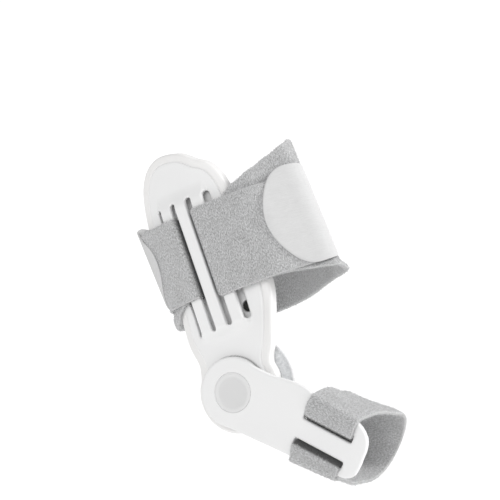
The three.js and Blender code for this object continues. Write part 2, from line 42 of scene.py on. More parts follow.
# How the splint is worn, in degrees. Each plate has a frame of its own round the hinge: the long
# plate's x runs across it and y along it, the toe plate's x along it and y across it, and z runs
# out of both. Sizes in the settings are in millimetres.
worn = {"toeSlope": 11.2, "plateTilt": 22.1, "toeBend": 44.6}

# Heights along the hinge, from the inner face of the pad
levels = {"linerFoot": 4.8, "linerFace": 7.3, "plateFace": 9.8, "toeFoot": 10.1, "toeFace": 12.5}

toeMatrix = np.array(
    Matrix.Rotation(math.radians(worn["toeSlope"]), 3, "Y")
    @ Matrix.Rotation(math.radians(90 - worn["plateTilt"]), 3, "X")
)
footMatrix = toeMatrix @ np.array(Matrix.Rotation(math.radians(90 - worn["toeBend"]), 3, "Z"))


def ease(value, start, end):
    share = np.clip((np.asarray(value, float) - start) / (end - start), 0, 1)
    return share * share * (3 - 2 * share)


def addObject(name, data):
    piece = bpy.data.objects.new(name, data)
    bpy.context.scene.collection.objects.link(piece)
    return piece


def makeMesh(name, points, faces, matrix=None):
    points = np.asarray(points, float)
    if matrix is not None:
        points = points @ matrix.T * mm
    mesh = bpy.data.meshes.new(name)
    mesh.from_pydata(points.tolist(), [], [list(map(int, f)) for f in faces])
    mesh.validate()
    mesh.update()
    mesh.polygons.foreach_set("use_smooth", [True] * len(mesh.polygons))
    return addObject(name, mesh)


def layUv(piece, name, places):
    layer = piece.data.uv_layers.new(name=name)
    loops = np.zeros(len(piece.data.loops), int)
    piece.data.loops.foreach_get("vertex_index", loops)
    layer.data.foreach_set("uv", places[loops].ravel())


def paint(piece, name, values):
    layer = piece.data.attributes.new(name, "FLOAT", "POINT")
    layer.data.foreach_set("value", values)


def turnOutwards(piece, weld=True):
    bm = bmesh.new()
    bm.from_mesh(piece.data)
    if weld:
        bmesh.ops.remove_doubles(bm, verts=bm.verts, dist=1e-7)
    bmesh.ops.recalc_face_normals(bm, faces=bm.faces)
    bm.to_mesh(piece.data)
    bm.free()


def setMaterial(piece, material):
    piece.data.materials.clear()
    piece.data.materials.append(material)


# Curves

def curveThrough(points, samples, closed=False):
    knots = np.asarray(points, float)
    count = len(knots)
    if closed:
        wrap = np.vstack([knots[-1], knots, knots[0], knots[1]])
        spans = count
    else:
        wrap = np.vstack([2 * knots[0] - knots[1], knots, 2 * knots[-1] - knots[-2]])
        spans = count - 1
    fine = []
    steps = 24
    for i in range(spans):
        p = wrap[i:i + 4]
        t = np.concatenate([[0], np.cumsum(np.linalg.norm(np.diff(p, axis=0), axis=1) ** 0.5)])
        s = np.linspace(t[1], t[2], steps, endpoint=False)[:, None]
        a1 = (t[1] - s) / (t[1] - t[0]) * p[0] + (s - t[0]) / (t[1] - t[0]) * p[1]
        a2 = (t[2] - s) / (t[2] - t[1]) * p[1] + (s - t[1]) / (t[2] - t[1]) * p[2]
        a3 = (t[3] - s) / (t[3] - t[2]) * p[2] + (s - t[2]) / (t[3] - t[2]) * p[3]
        b1 = (t[2] - s) / (t[2] - t[0]) * a1 + (s - t[0]) / (t[2] - t[0]) * a2
        b2 = (t[3] - s) / (t[3] - t[1]) * a2 + (s - t[1]) / (t[3] - t[1]) * a3
        fine.append((t[2] - s) / (t[2] - t[1]) * b1 + (s - t[1]) / (t[2] - t[1]) * b2)
    fine = np.vstack(fine + [knots[:1] if closed else knots[-1:]])
    return evenly(fine, samples, closed)


def runAlong(path):
    return np.concatenate([[0], np.cumsum(np.linalg.norm(np.diff(path, axis=0), axis=1))])


def evenly(path, samples, closed=False):
    run = runAlong(path)
    at = np.linspace(0, run[-1], samples, endpoint=not closed)
    return np.stack([np.interp(at, run, path[:, k]) for k in range(path.shape[1])], axis=1)


def arc(radius, fromDegrees, toDegrees, steps):
    angles = np.radians(np.linspace(fromDegrees, toDegrees, steps + 1))
    return np.stack([radius * np.cos(angles), radius * np.sin(angles)], axis=1)


# Moulded pieces are cut from a distance field: negative inside, in millimetres

def outlineDistance(outline, x, y):
    shape = x.shape
    px, py = x.ravel()[:, None], y.ravel()[:, None]
    ax, ay = outline[:, 0][None], outline[:, 1][None]
    bx, by = np.roll(outline[:, 0], -1)[None], np.roll(outline[:, 1], -1)[None]
    ex, ey = bx - ax, by - ay
    best = np.full(px.shape[0], 1e9)
    inside = np.zeros(px.shape[0], bool)
    block = 20000
    for start in range(0, px.shape[0], block):
        cut = slice(start, start + block)
        wx, wy = px[cut] - ax, py[cut] - ay
        share = np.clip((wx * ex + wy * ey) / (ex * ex + ey * ey), 0, 1)
        gapSquared = (wx - share * ex) ** 2 + (wy - share * ey) ** 2
        best[cut] = np.sqrt(gapSquared.min(axis=1))
        meets = ex * (py[cut] - ay) / (by - ay + 1e-12) + ax
        crosses = ((ay > py[cut]) != (by > py[cut])) & (px[cut] < meets)
        inside[cut] = crosses.sum(axis=1) % 2 == 1
    return np.where(inside, -best, best).reshape(shape)


def roundedBoth(flat, upright, radius):
    a, b = flat + radius, upright + radius
    return np.hypot(np.maximum(a, 0), np.maximum(b, 0)) + np.minimum(np.maximum(a, b), 0) - radius


def slotDistance(x, y, across, start, length, width, radius):
    besides = np.abs(x - across) - 0.5 * width
    beyond = np.abs(y - start - 0.5 * length) - 0.5 * length
    return roundedBoth(besides, beyond, radius)


def roundedOver(flat, height, thickness, radius, underside=0.12):
    # The height counts from the middle of the sheet
    above = roundedBoth(flat, np.abs(height) - 0.5 * thickness, radius)
    below = roundedBoth(flat, np.abs(height) - 0.5 * thickness, underside)
    share = ease(height, -0.1, 0.1)
    return above * share + below * (1 - share)


def softMin(a, b, blend):
    h = np.clip(0.5 + 0.5 * (b - a) / blend, 0, 1)
    return b + (a - b) * h - blend * h * (1 - h)


def softMax(a, b, blend):
    return -softMin(-a, -b, blend)


def surfaceOf(field, low, high, cell):
    low, high = np.array(low, float), np.array(high, float)
    counts = np.ceil((high - low) / cell).astype(int) + 1
    axes = [low[k] + cell * np.arange(counts[k]) for k in range(3)]
    x, y, z = np.meshgrid(*axes, indexing="ij")
    values = field(x, y, z)
    solid = values < 0
    cells = tuple(counts - 1)
    filled = np.zeros(cells, int)
    total = np.zeros(cells + (3,))
    crossings = np.zeros(cells)
    corner = [(i, j, k) for i in (0, 1) for j in (0, 1) for k in (0, 1)]

    def part(array, c):
        return array[c[0]:c[0] + cells[0], c[1]:c[1] + cells[1], c[2]:c[2] + cells[2]]

    for c in corner:
        filled += part(solid, c)
    for axis in range(3):
        for c in corner:
            if c[axis]:
                continue
            d = tuple(v + (k == axis) for k, v in enumerate(c))
            fa, fb = part(values, c), part(values, d)
            cut = (fa < 0) != (fb < 0)
            share = np.where(cut, fa / np.where(cut, fa - fb, 1), 0)
            for k in range(3):
                total[..., k] += np.where(cut, c[k] + (share if k == axis else 0), 0)
            crossings += cut
    live = (filled > 0) & (filled < 8)
    index = np.full(cells, -1)
    index[live] = np.arange(live.sum())
    origin = np.stack(np.nonzero(live), axis=1)
    points = low + cell * (origin + total[live] / crossings[live][:, None])
    faces = []
    for axis in range(3):
        u, v = [k for k in range(3) if k != axis]
        inner = [slice(1, n - 1) for n in counts]
        inner[axis] = slice(0, counts[axis] - 1)
        ahead = list(inner)
        ahead[axis] = slice(1, counts[axis])
        a, b = solid[tuple(inner)], solid[tuple(ahead)]
        at = np.stack(np.nonzero(a != b), axis=1)
        outward = a[a != b]
        at[:, u] += 1
        at[:, v] += 1
        ring = []
        for du, dv in ((-1, -1), (0, -1), (0, 0), (-1, 0)):
            q = at.copy()
            q[:, u] += du
            q[:, v] += dv
            ring.append(index[q[:, 0], q[:, 1], q[:, 2]])
        quad = np.stack(ring, axis=1)
        flip = outward if axis != 1 else ~outward
        quad[~flip] = quad[~flip][:, ::-1]
        faces.append(quad)
    return onSurface(field, points), np.vstack(faces)


def onSurface(field, points, rounds=3, step=0.02, flattest=0.2, farthest=0.3):
    for _ in range(rounds):
        x, y, z = points.T
        value = field(x, y, z)
        slope = np.stack([
            field(x + step, y, z) - field(x - step, y, z),
            field(x, y + step, z) - field(x, y - step, z),
            field(x, y, z + step) - field(x, y, z - step),
        ], axis=1) / (2 * step)
        square = np.maximum((slope ** 2).sum(axis=1), flattest)
        move = slope * (value / square)[:, None]
        length = np.linalg.norm(move, axis=1, keepdims=True)
        points = points - move * np.minimum(1, farthest / np.maximum(length, 1e-9))
    return points


# Long plate, its outline from the neck up one side and down the other
plate = {
    "thickness": 2.2, "length": 91.2, "width": 33, "middle": 4.5, "head": 12.6, "edgeRound": 0.7,
    "crownRadius": 55, "crownStart": 14, "crownFull": 34,
    "slotStart": 24.2, "slotLength": 51, "slotWidth": 2.2, "innerSlot": 3.5, "outerSlot": 10.5,
    "barRise": 2.4, "middleBarRise": 3, "lowRamp": (3.6, 4.6), "highRamp": (5, 8), "shank": 4.3,
    "edge": [  # across as a share of the width, along as a share of the length
        (0.316, 0.008), (0.298, 0.06), (0.325, 0.1), (0.412, 0.155), (0.48, 0.22), (0.53, 0.3),
        (0.56, 0.38), (0.55, 0.52), (0.51, 0.7), (0.465, 0.82), (0.43, 0.875), (0.36, 0.918),
        (0.265, 0.94), (0.2, 0.961), (0.12, 0.984), (0.01, 0.997), (-0.14, 1), (-0.27, 0.977),
        (-0.375, 0.93), (-0.43, 0.88), (-0.47, 0.82), (-0.492, 0.76), (-0.48, 0.62),
        (-0.458, 0.44), (-0.46, 0.36), (-0.458, 0.29), (-0.435, 0.235), (-0.4, 0.19), (-0.39, 0.155),
    ],
    "headArc": (142, 325), "box": ((-14, -14, 3.6), (24.5, 93, 14)),
    # headShadeLine sets a painted shade line on the long plate round the toe plate's head
    "headShadeLine": (0.55, 0.5),  # half the width and the softness of the line round the toe plate's head
}

plateOutline = curveThrough(np.vstack([
    arc(plate["head"], *plate["headArc"], 12),
    [(plate["middle"] + a * plate["width"], b * plate["length"]) for a, b in plate["edge"]],
]), 190, closed=True)

slotEnd = plate["slotStart"] + plate["slotLength"]
slotMiddle = plate["slotStart"] + 0.5 * plate["slotLength"]


def crown(x, y):
    fade = ease(y, plate["crownStart"], plate["crownFull"])
    return -((x - plate["middle"]) ** 2) / (2 * plate["crownRadius"]) * fade


def bow(x, y):
    start, end = plate["slotStart"] - plate["lowRamp"][0], slotEnd + plate["highRamp"][0]
    along = ease(y, start, start + plate["lowRamp"][1])
    along = along * ease(-y, -end, plate["highRamp"][1] - end)
    side = np.abs(x - plate["middle"])
    half = 0.5 * plate["slotWidth"]
    outer = 1 - ease(side, plate["outerSlot"] - half, plate["outerSlot"] + half)
    inner = 1 - ease(side, plate["innerSlot"] - half, plate["innerSlot"] + half)
    return along * (plate["barRise"] * outer + (plate["middleBarRise"] - plate["barRise"]) * inner)


def slotsOf(x, y):
    gaps = [
        slotDistance(
            x, y, plate["middle"] + side * slot,
            plate["slotStart"], plate["slotLength"], plate["slotWidth"], 0.5 * plate["slotWidth"],
        )
        for side in (-1, 1) for slot in (plate["innerSlot"], plate["outerSlot"])
    ]
    return np.minimum.reduce(gaps)


def mainPlateField(x, y, z):
    flat = np.maximum(outlineDistance(plateOutline, x, y), -slotsOf(x, y))
    flat = np.maximum(flat, plate["shank"] - np.hypot(x, y))
    height = levels["plateFace"] - 0.5 * plate["thickness"] + crown(x, y) + bow(x, y)
    return roundedOver(flat, z - height, plate["thickness"], plate["edgeRound"])


# Soft liner under the plate, with a rounded rim that stands up round the plate
liner = {
    "margin": 3.1, "gap": -0.6, "edgeRound": 0.9, "rimDrop": 0.3, "rimRound": 1.05, "blend": 0.4,
    "flange": 6.3, "stud": 2.3, "studAlong": 28.9, "studDepth": 1.3,
    "box": ((-17.5, -17.5, -0.6), (27.8, 96, 10.2)),
    "shaded": (1, 3),  # how far in from the plate's outline the shade under it sets in
}


def linerField(x, y, z):
    flat = outlineDistance(plateOutline, x, y)
    lift = crown(x, y)
    foot, face = levels["linerFoot"] + lift, levels["linerFace"] + lift
    middle, half = 0.5 * (foot + face), 0.5 * (face - foot)
    sheet = roundedBoth(flat - liner["margin"], np.abs(z - middle) - half, liner["edgeRound"])
    top = levels["plateFace"] - liner["rimDrop"] + lift
    wide = 0.5 * (liner["margin"] - liner["gap"])
    rim = roundedBoth(
        np.abs(flat - liner["gap"] - wide) - wide,
        np.abs(z - 0.5 * (foot + top)) - 0.5 * (top - foot),
        liner["rimRound"],
    )
    body = np.maximum(softMin(sheet, rim, liner["blend"]), liner["flange"] - np.hypot(x, y))
    fromStud = np.hypot(x - plate["middle"] - plate["outerSlot"], y - liner["studAlong"])
    hole = np.maximum(fromStud - liner["stud"], face - liner["studDepth"] - z)
    return np.maximum(body, -hole)


# Toe plate, its outline from the head along one side and back along the other
toe = {
    "thickness": 2.4, "head": 13.4, "length": 58.3, "width": 26.2, "edgeRound": 0.8,
    "slotStart": 30.3, "slotLength": 21.6, "slotWidth": 3, "slotCorner": 0.6, "bar": 7.8,
    "capSeat": 7.52, "capDepth": 1.5, "capBlend": 0.25, "shank": 4.3,
    "edge": [  # along as a share of the length, across as a share of the width
        (0.16, 0.486), (0.22, 0.495), (0.3, 0.53), (0.4, 0.562), (0.49, 0.55), (0.54, 0.505),
        (0.62, 0.488), (0.75, 0.48), (0.86, 0.47), (0.93, 0.408), (0.977, 0.31), (0.998, 0.18),
        (1, 0.03), (0.999, -0.14), (0.987, -0.255), (0.95, -0.332), (0.88, -0.366), (0.72, -0.4),
        (0.55, -0.428), (0.38, -0.452), (0.25, -0.47),
    ],
    "headArc": (72, 285), "box": ((-15, -15, 9.2), (60, 16.5, 13.4)),
}

toeOutline = curveThrough(np.vstack([
    arc(toe["head"], *toe["headArc"], 16),
    [(a * toe["length"], b * toe["width"]) for a, b in toe["edge"][::-1]],
]), 170, closed=True)


def toePlateField(x, y, z):
    flat = outlineDistance(toeOutline, x, y)
    for side in (-1, 1):
        centre = side * 0.5 * (toe["bar"] + toe["slotWidth"])
        length, width = toe["slotLength"], toe["slotWidth"]
        slot = slotDistance(y, x, centre, toe["slotStart"], length, width, toe["slotCorner"])
        flat = np.maximum(flat, -slot)
    reach = np.hypot(x, y)
    flat = np.maximum(flat, toe["shank"] - reach)
    height = levels["toeFace"] - 0.5 * toe["thickness"]
    body = roundedOver(flat, z - height, toe["thickness"], toe["edgeRound"])
    seat = np.maximum(reach - toe["capSeat"], levels["toeFace"] - toe["capDepth"] - z)
    return softMax(body, -seat, toe["capBlend"])


# Materials

def newGroup(name, inputs, outputs):
    tree = bpy.data.node_groups.new(name, "ShaderNodeTree")
    for title, kind, value in inputs:
        socket = tree.interface.new_socket(title, in_out="INPUT", socket_type=kind)
        if value is not None:
            socket.default_value = value
    for title, kind in outputs:
        tree.interface.new_socket(title, in_out="OUTPUT", socket_type=kind)
    return tree, tree.nodes.new("NodeGroupInput"), tree.nodes.new("NodeGroupOutput")


def mathNode(tree, operation, a, b=None, c=None, clamp=False):
    node = tree.nodes.new("ShaderNodeMath")
    node.operation = operation
    node.use_clamp = clamp
    for i, value in enumerate((a, b, c)):
        if value is None:
            continue
        if hasattr(value, "links"):
            tree.links.new(value, node.inputs[i])
        else:
            node.inputs[i].default_value = value
    return node.outputs[0]


def setInputs(node, values):
    for title, value in values.items():
        node.inputs[title].default_value = value


def mixColor(tree, factor, a, b):
    node = tree.nodes.new("ShaderNodeMix")
    node.data_type = "RGBA"
    for socket, value in ((node.inputs[0], factor), (node.inputs[6], a), (node.inputs[7], b)):
        if hasattr(value, "links"):
            tree.links.new(value, socket)
        else:
            socket.default_value = value
    return node.outputs[2]


def noise(tree, vector, scale, detail=3, rough=0.5):
    node = tree.nodes.new("ShaderNodeTexNoise")
    setInputs(node, {"Detail": detail, "Roughness": rough})
    tree.links.new(vector, node.inputs["Vector"])
    if hasattr(scale, "links"):
        tree.links.new(scale, node.inputs["Scale"])
    else:
        node.inputs["Scale"].default_value = scale
    return node.outputs["Fac"]


def mouldedGrain():
    # Fine moulding texture with broad, faint changes of gloss
    tree, inside, outside = newGroup(
        "mouldedGrain",
        [
            ("Vector", "NodeSocketVector", None), ("Grain Scale", "NodeSocketFloat", 900),
            ("Cloud Scale", "NodeSocketFloat", 45),
        ],
        [("Height", "NodeSocketFloat"), ("Cloud", "NodeSocketFloat")],
    )
    fine = noise(tree, inside.outputs["Vector"], inside.outputs["Grain Scale"], 4, 0.6)
    cloud = noise(tree, inside.outputs["Vector"], inside.outputs["Cloud Scale"], 2, 0.5)
    tree.links.new(fine, outside.inputs["Height"])
    tree.links.new(cloud, outside.inputs["Cloud"])
    return tree


def brushedNap():
    # Mottled nap of brushed loop cloth, from coordinates in millimetres along and across
    tree, inside, outside = newGroup(
        "brushedNap",
        [
            ("Vector", "NodeSocketVector", None), ("Tuft Size", "NodeSocketFloat", 0.7),
            ("Contrast", "NodeSocketFloat", 1),
        ],
        [("Height", "NodeSocketFloat"), ("Mottle", "NodeSocketFloat")],
    )
    scale = mathNode(tree, "DIVIDE", 1, inside.outputs["Tuft Size"])
    tuft = noise(tree, inside.outputs["Vector"], scale, 4, 0.65)
    broad = noise(tree, inside.outputs["Vector"], mathNode(tree, "MULTIPLY", scale, 0.12), 3, 0.5)
    fine = noise(tree, inside.outputs["Vector"], mathNode(tree, "MULTIPLY", scale, 3.1), 2, 0.6)
    spread = mathNode(tree, "MULTIPLY", mathNode(tree, "SUBTRACT", tuft, 0.5), inside.outputs["Contrast"])
    drift = mathNode(tree, "MULTIPLY", mathNode(tree, "SUBTRACT", broad, 0.5), 0.5)
    mottle = mathNode(tree, "ADD", mathNode(tree, "ADD", spread, drift), 0.5, clamp=True)
    height = mathNode(tree, "ADD", tuft, mathNode(tree, "MULTIPLY", fine, 0.5))
    tree.links.new(height, outside.inputs["Height"])
    tree.links.new(mottle, outside.inputs["Mottle"])
    return tree


grainGroup = mouldedGrain()
napGroup = brushedNap()


def grey(value, warm=0.0):
    return (value * (1 + warm), value, value * (1 - warm), 1)


def newMaterial(name):
    material = bpy.data.materials.new(name)
    material.use_nodes = True
    tree = material.node_tree
    return material, tree, tree.nodes["Principled BSDF"]


def coordinates(tree, uv=False):
    node = tree.nodes.new("ShaderNodeTexCoord")
    return node.outputs["UV" if uv else "Object"]


def addBump(tree, shader, height, strength, distance):
    bump = tree.nodes.new("ShaderNodeBump")
    setInputs(bump, {"Strength": strength, "Distance": distance})
    tree.links.new(height, bump.inputs["Height"])
    tree.links.new(bump.outputs["Normal"], shader.inputs["Normal"])


def attributeValue(tree, name):
    node = tree.nodes.new("ShaderNodeAttribute")
    node.attribute_name = name
    return node.outputs["Fac"]


def plasticMaterial(name, low, high, roughness, coat=0.0, paintedShade=0.0):
    material, tree, shader = newMaterial(name)
    grain = tree.nodes.new("ShaderNodeGroup")
    grain.node_tree = grainGroup
    tree.links.new(coordinates(tree), grain.inputs["Vector"])
    tone = mixColor(tree, grain.outputs["Cloud"], low, high)
    # Where a piece's paintedShade mask is set, the colour darkens toward a painted shade tone
    if paintedShade:
        tone = mixColor(tree, attributeValue(tree, "paintedShade"), tone, grey(paintedShade))
    tree.links.new(tone, shader.inputs["Base Color"])
    rough = mathNode(tree, "MULTIPLY_ADD", grain.outputs["Cloud"], 0.16, roughness - 0.08)
    tree.links.new(rough, shader.inputs["Roughness"])
    addBump(tree, shader, grain.outputs["Height"], 0.08, 0.00005)
    setInputs(shader, {"Coat Weight": coat, "Coat Roughness": 0.25})
    return material


def clothMaterial(
    name, dark, light, tuftSize, contrast, bump, sheen=0.3, edge=0.0, turn=0.0, stretch=(1, 1, 1),
):
    material, tree, shader = newMaterial(name)
    nap = tree.nodes.new("ShaderNodeGroup")
    nap.node_tree = napGroup
    setInputs(nap, {"Tuft Size": tuftSize, "Contrast": contrast})
    lay = tree.nodes.new("ShaderNodeMapping")
    setInputs(lay, {"Rotation": (0, 0, turn), "Scale": stretch})
    tree.links.new(coordinates(tree, uv=True), lay.inputs["Vector"])
    tree.links.new(lay.outputs["Vector"], nap.inputs["Vector"])
    tone = mixColor(tree, nap.outputs["Mottle"], dark, light)
    if edge:
        # Only the thickest pile, along the cut edges, takes the edge's tone
        cutEdge = mathNode(tree, "MULTIPLY_ADD", attributeValue(tree, "pile"), 1.9, -1.3, clamp=True)
        tone = mixColor(tree, cutEdge, tone, grey(edge))
        # Points deep in the slots take a painted shade, near black
        tone = mixColor(tree, attributeValue(tree, "deep"), tone, grey(0.03))
    tree.links.new(tone, shader.inputs["Base Color"])
    setInputs(shader, {
        "Roughness": 0.95, "Specular IOR Level": 0.15, "Sheen Weight": sheen, "Sheen Roughness": 0.6,
    })
    addBump(tree, shader, nap.outputs["Height"], bump, 0.0004)
    return material


plateWhite = plasticMaterial("whiteMouldedPlate", grey(0.79), grey(0.83), 0.42, paintedShade=0.25)
linerWhite = plasticMaterial(
    "softLinerWhite", grey(0.79, 0.009), grey(0.82, 0.006), 0.38, coat=0.2, paintedShade=0.76,
)
capGrey = plasticMaterial("hingeCapGrey", grey(0.7), grey(0.73), 0.5, paintedShade=0.66)
studBlack = plasticMaterial("studBlack", grey(0.012), grey(0.02), 0.5)
strapCloth = clothMaterial(
    "brushedStrapCloth", grey(0.3), (0.66, 0.663, 0.67, 1), 0.48, 3.9, 0.8,
    edge=0.66, turn=0.9, stretch=(1.25, 0.6, 1),
)
tabCloth = clothMaterial(
    "hookTabBack", grey(0.57), grey(0.65), 0.5, 1.6, 0.3, sheen=0.1, turn=0.3, stretch=(0.16, 1.1, 1),
)
padCloth = clothMaterial("padCloth", (0.5, 0.512, 0.525, 1), (0.78, 0.79, 0.8, 1), 1.1, 1.9, 0.6, edge=0.84)

print("materials ready")


# Rigid pieces

# Painted shade on the liner under the plate, seen through the slots
def shadeUnderPlate(x, y):
    return ease(-outlineDistance(plateOutline, x, y), *liner["shaded"])


# Painted contact shadow on the long plate along the toe plate's round head
def headContactShade(x, y):
    wide, soft = plate["headShadeLine"]
    return ease(wide - np.abs(np.hypot(x, y) - toe["head"]), 0, soft)


def mouldedPiece(name, field, box, matrix, body, material, stands, shadeMask=None):
    points, faces = surfaceOf(field, *box, fineCell)
    piece = makeMesh(name, points, faces, matrix)
    # shadeMask paints shade into the piece's colour through its paintedShade attribute
    if shadeMask:
        paint(piece, "paintedShade", shadeMask(points[:, 0], points[:, 1]))
    turnOutwards(piece)
    setMaterial(piece, material)
    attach(piece, body)
    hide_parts(stands)
    print(name, len(faces), "faces")


fineCell = 0.45

mouldedPiece(
    "long_plate", mainPlateField, plate["box"], footMatrix,
    "foot_side", plateWhite, "main_plate", headContactShade,
)
mouldedPiece(
    "liner_with_rim", linerField, liner["box"], footMatrix,
    "foot_side", linerWhite, "liner", shadeUnderPlate,
)
mouldedPiece(
    "short_plate", toePlateField, toe["box"], toeMatrix,
    "toe_side", plateWhite, "toe_plate",
)

# Hinge rivet, turned from a profile of radius and height
rivet = {
    "capRadius": 7.5, "capTop": 12.4, "capThick": 1, "edgeRound": 0.12, "shank": 4,
    "flange": 6, "flangeTop": 7.3, "flangeThick": 1, "sides": 96,
    "dish": [  # in from the cap's edge, and over its top
        (0.5, 0.06), (0.8, 0.07), (1.1, 0), (1.4, -0.12), (1.8, -0.24), (2.4, -0.3),
        (4.1, -0.33), (5.7, -0.35), (7.5, -0.36),
    ],
    # shadedMiddle gives where the painted shade in the cap's dished middle fades out
    "shadedMiddle": (5.5, 6.4),  # where the cap's darker middle ends
}


def turned(name, profile, sides, matrix, centre=(0, 0)):
    angles = np.linspace(0, 2 * np.pi, sides, endpoint=False)
    points = []
    rings = []
    for radius, height in profile:
        if radius < 1e-6:
            rings.append([len(points)])
            points.append((centre[0], centre[1], height))
        else:
            rings.append(list(range(len(points), len(points) + sides)))
            for t in angles:
                x, y = radius * math.cos(t), radius * math.sin(t)
                points.append((centre[0] + x, centre[1] + y, height))
    faces = []
    for near, far in zip(rings, rings[1:]):
        for k in range(sides):
            n = (k + 1) % sides
            if len(near) == 1:
                faces.append((near[0], far[n], far[k]))
            elif len(far) == 1:
                faces.append((near[k], near[n], far[0]))
            else:
                faces.append((near[k], near[n], far[n], far[k]))
    piece = makeMesh(name, points, faces, matrix)
    turnOutwards(piece)
    layUv(piece, "faceRun", np.array(points)[:, :2])
    return piece


def rivetProfile():
    top, cap, bend = rivet["capTop"], rivet["capRadius"], rivet["edgeRound"]
    seat, under = rivet["flangeTop"], top - rivet["capThick"]
    profile = [(0, seat - rivet["flangeThick"]), (rivet["flange"], seat - rivet["flangeThick"])]
    profile += [(rivet["flange"], seat), (rivet["shank"], seat), (rivet["shank"], under)]
    profile += [(cap, under), (cap, top - bend)]
    profile += [(cap - bend + x, top - bend + z) for x, z in arc(bend, 30, 90, 2)]
    return profile + [(cap - inwards, top + lift) for inwards, lift in rivet["dish"]]


def fromAxis(piece, matrix, centre=(0, 0)):
    points = np.array([v.co for v in piece.data.vertices]) @ matrix / mm
    return np.hypot(points[:, 0] - centre[0], points[:, 1] - centre[1])


hinge = turned("hinge_cap_and_pin", rivetProfile(), rivet["sides"], toeMatrix)
setMaterial(hinge, capGrey)
# Painted shade in the cap's dished middle
paint(hinge, "paintedShade", 1 - ease(fromAxis(hinge, toeMatrix), *rivet["shadedMiddle"]))
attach(hinge, "foot_side")
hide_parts("hinge_rivet")
# The liner stud is near black, a dark spot low in the outer slot
setMaterial(nodes["liner_stud"], studBlack)

# Bunion pad: two cloth faces over foam, welded round the rim
pad = {
    "radius": 17.3, "thickness": 4.5, "centre": (4.6, 1.8), "weld": 1.15, "swell": 0.68,
    "rings": 22, "sides": 120, "brightEdge": (1.3, 0.8),
    "welded": [(0.3, 0.3), (0, 0.16), (0, -0.16), (0.3, -0.3)],  # in from the rim, share of the height
}


def padProfile():
    half = 0.5 * pad["thickness"]
    shoulder = pad["radius"] - pad["weld"]
    top = []
    for share in np.linspace(0, 1, pad["rings"]):
        fall = (1 - share ** 7) ** 0.5
        top.append((shoulder * share, half * (1 - pad["swell"] + pad["swell"] * fall)))
    rim = [(pad["radius"] - inwards, lift * half) for inwards, lift in pad["welded"]]
    lower = [(r, -h) for r, h in top]
    return [(r, h + half) for r, h in top + rim + lower[::-1]]


padPiece = turned("bunion_cushion", padProfile()[::-1], pad["sides"], footMatrix, pad["centre"])
setMaterial(padPiece, padCloth)
padReach = fromAxis(padPiece, footMatrix, pad["centre"])
paint(padPiece, "pile", ease(padReach, *(pad["radius"] - w for w in pad["brightEdge"])))
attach(padPiece, "foot_side")
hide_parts("bunion_pad")
print("rigid pieces and pad ready")

# Straps: a ribbon is a run of stations, each with its place on the path (a, b), its two edges, its
# thickness and how deep it lies in a slot, from 0 to 1, which sets a painted shade there
cloth = {
    "waves": ((0.37, 0.21, 0), (0.11, -0.33, 1.3)), "waveHeight": 0.12, "wavyFrom": 1.7,
    "tip": 0.45, "edgePile": 1, "facePile": 0.45, "backPile": 0.12, "backShift": 60,
}


def clothWave(travel, edge):
    first, second = (np.sin(u * travel + v * edge + start) for u, v, start in cloth["waves"])
    return cloth["waveHeight"] * first * second


def ribbonMesh(name, run, place, matrix, closed, columns, rounding=4):
    a, b, low, high, thick, deep = run.T
    path = np.stack([a, b], axis=1)
    before = np.roll(path, 1, axis=0)
    after = np.roll(path, -1, axis=0)
    if not closed:
        before[0], after[-1] = path[0], path[-1]
    tangent = after - before
    tangent /= np.linalg.norm(tangent, axis=1, keepdims=True)
    normal = np.stack([-tangent[:, 1], tangent[:, 0]], axis=1)
    travel = runAlong(path)
    half = 0.5 * thick
    across = np.linspace(0, 1, columns)
    turn = np.radians(np.linspace(90, -90, rounding + 2))[1:-1]
    # Each point: share of the way across, then sideways and up in half thicknesses
    section = [(share, 0.0, 1.0) for share in across]
    section += [(1.0, math.cos(t), math.sin(t)) for t in turn]
    section += [(share, 0.0, -1.0) for share in across[::-1]]
    section += [(0.0, -math.cos(t), -math.sin(t)) for t in turn]
    section = np.array(section)
    size = len(section)
    inner = np.minimum(half, cloth["tip"] * (high - low))
    points = []
    uvs = []
    for i in range(len(path)):
        flat = high[i] - low[i] - 2 * inner[i]
        edge = low[i] + inner[i] + section[:, 0] * flat + section[:, 1] * inner[i]
        out = half[i] * section[:, 2] + clothWave(travel[i], edge) * (thick[i] > cloth["wavyFrom"])
        pa = a[i] + out * normal[i, 0]
        pb = b[i] + out * normal[i, 1]
        points.append(place(pa, pb, edge))
        shift = cloth["backShift"] * (section[:, 2] < 0)
        uvs.append(np.stack([np.full(size, travel[i]), edge + shift], axis=1))
    count = len(path)
    points = np.vstack(points)
    uvs = np.vstack(uvs)
    faces = []
    for i in range(count if closed else count - 1):
        j = (i + 1) % count
        for k in range(size):
            n = (k + 1) % size
            faces.append((i * size + k, i * size + n, j * size + n, j * size + k))
    if not closed:
        faces.append(tuple(range(size))[::-1])
        faces.append(tuple(range((count - 1) * size, count * size)))
    piece = makeMesh(name, points, faces, matrix)
    pile = np.where(section[:, 2] > 0, cloth["facePile"], cloth["backPile"])
    pile = np.where(np.abs(section[:, 1]) > 0.01, cloth["edgePile"], pile)
    # Points deep in a slot take a painted shade, on the outer side only for a closed band, and bear fewer
    # fibres
    shaded = np.outer(deep, section[:, 2] > 0.01 if closed else np.ones(size))
    paint(piece, "pile", (pile[None, :] * (1 - shaded)).ravel())
    paint(piece, "deep", shaded.ravel())
    layUv(piece, "clothRun", uvs)
    turnOutwards(piece, weld=False)
    return piece


# Nap: short lying fibres set over a strap's faces, thick along its edges
nap = {
    "density": 5.6e6, "length": 0.9 * mm, "radius": 0.06 * mm, "tilt": 1.3, "seed": 7,
    "sizes": (0.5, 1.25), "quick": 0.2,
}


